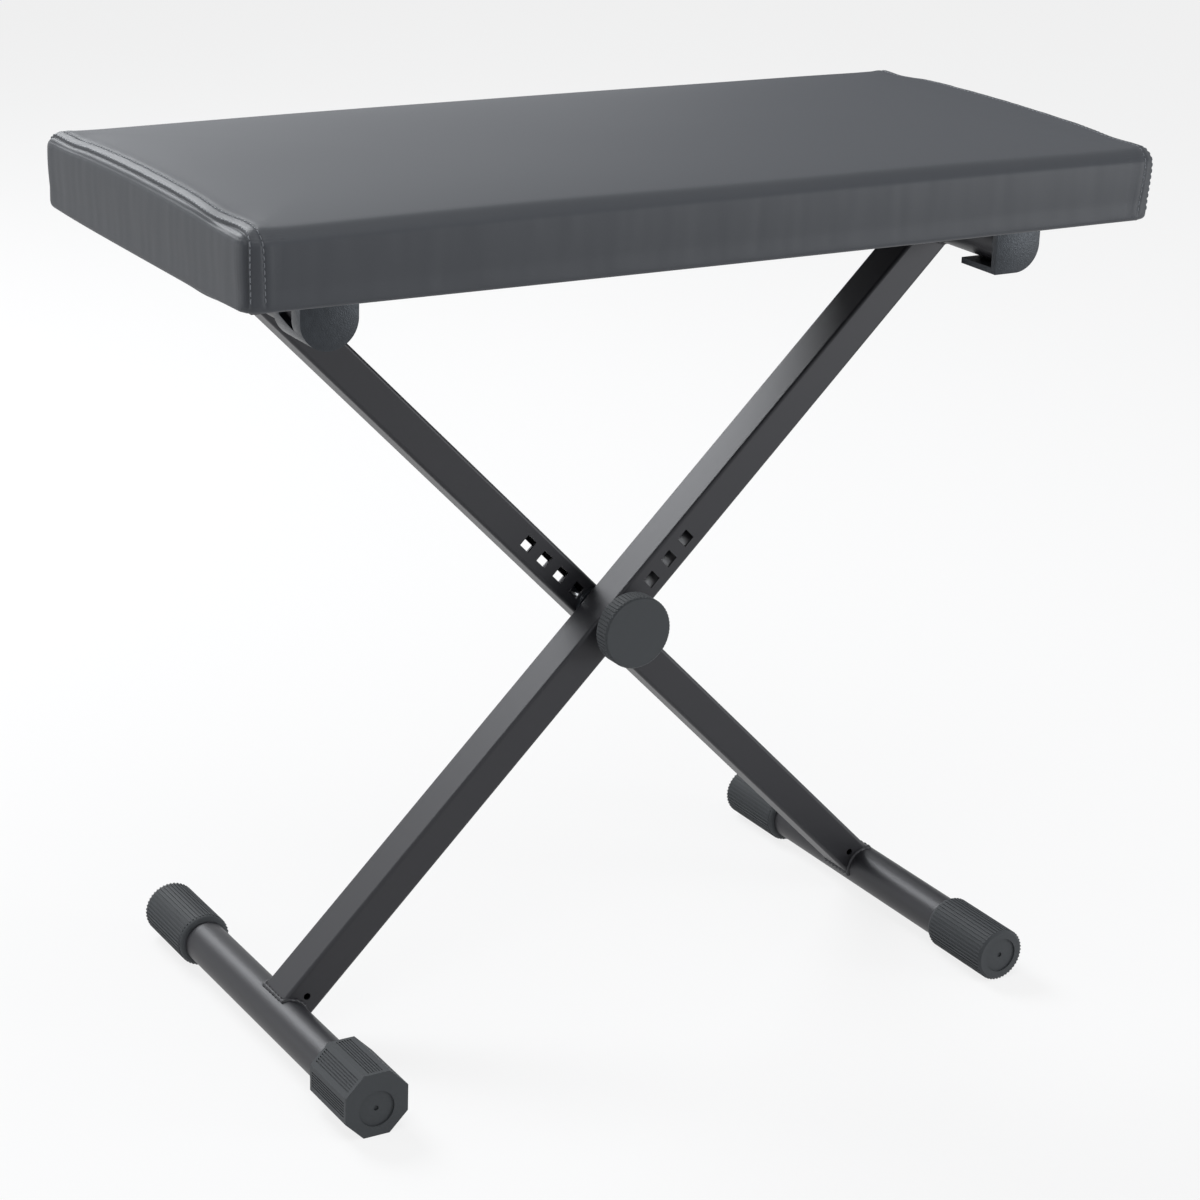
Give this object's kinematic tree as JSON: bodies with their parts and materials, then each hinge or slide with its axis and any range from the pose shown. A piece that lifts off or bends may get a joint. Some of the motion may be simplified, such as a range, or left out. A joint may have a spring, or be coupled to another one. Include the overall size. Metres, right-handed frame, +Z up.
{
  "type": "folding keyboard bench",
  "caption": "X-frame bench with a padded leatherette seat on crossed steel legs that fold like scissors, a hand knob at the crossing, ribbed foot caps and an eccentric leveller.",
  "frame": {"origin": "on the floor, under the middle of the seat, where the vertical middle planes of the bench meet", "axes": "+X along the seat to the right as seen from the knob side, +Y from the knob side to the back, +Z up"},
  "size_m": [0.667, 0.334, 0.5984],
  "materials": {
    "leatherette": "black grained leatherette, satin, with a soft blue-grey sheen",
    "foam": "open-cell upholstery foam",
    "plywood": "plain plywood",
    "lining_cloth": "black non-woven cloth",
    "powder_coat": "black semi-gloss powder coat on steel tube",
    "moulded_plastic": "black moulded nylon",
    "cap_plastic": "dark grey ribbed plastic",
    "knob_plastic": "fine-textured dark grey plastic",
    "bare_steel": "zinc-plated steel",
    "insert_brass": "turned brass"
  },
  "bodies": {
    "seat": {"seat_cover": "leatherette", "seat_foam": "foam", "seat_board": "plywood", "seat_lining": "lining_cloth", "lining_staples": "bare_steel", "front_left_cup": "moulded_plastic", "rear_left_cup": "moulded_plastic", "front_right_hook": "moulded_plastic", "rear_right_hook": "moulded_plastic", "bearing_screws": "bare_steel"},
    "rear_frame": {"rear_leg": "powder_coat", "right_foot_tube": "powder_coat", "left_top_tube": "powder_coat", "left_top_plugs": "moulded_plastic", "right_front_cap": "cap_plastic", "right_rear_cap": "cap_plastic", "pivot_bolt": "bare_steel", "leg_spacer": "moulded_plastic"},
    "front_frame": {"front_leg": "powder_coat", "left_foot_tube": "powder_coat", "right_top_tube": "powder_coat", "right_top_plugs": "moulded_plastic", "left_rear_cap": "cap_plastic"},
    "leveller": {"leveller": "cap_plastic"},
    "knob_washer": {"knob_washer": "bare_steel"},
    "knob": {"knob_body": "knob_plastic", "knob_cap": "knob_plastic", "knob_insert": "insert_brass"}
  },
  "joints": [
    {"name": "seat_fold", "type": "hinge", "parent": "seat", "child": "rear_frame", "pos_m": [-0.256, 0, 0.52269], "axis": [0, 1, 0], "range_deg": [0, 40]},
    {"name": "leg_scissor", "type": "hinge", "parent": "rear_frame", "child": "front_frame", "pos_m": [0, 0, 0.26669], "axis": [0, 1, 0], "range_deg": [-80, 0]},
    {"name": "leveller_turn", "type": "hinge", "parent": "front_frame", "child": "leveller", "pos_m": [-0.24749, -0.137, 0.0192], "axis": [0, 1, 0], "continuous": true},
    {"name": "knob_travel", "type": "slide", "parent": "rear_frame", "child": "knob_washer", "axis": [0, -1, 0], "range_m": [0, 0.0025]},
    {"name": "knob_turn", "type": "hinge", "parent": "knob_washer", "child": "knob", "pos_m": [0, -0.05, 0.26669], "axis": [0, -1, 0], "range_deg": [0, 720]}
  ],
  "couplings": [
    {"joint": "leg_scissor", "follows": "seat_fold", "ratio": -2},
    {"joint": "knob_travel", "follows": "knob_turn", "m_per_rad": 0.00019894}
  ]
}
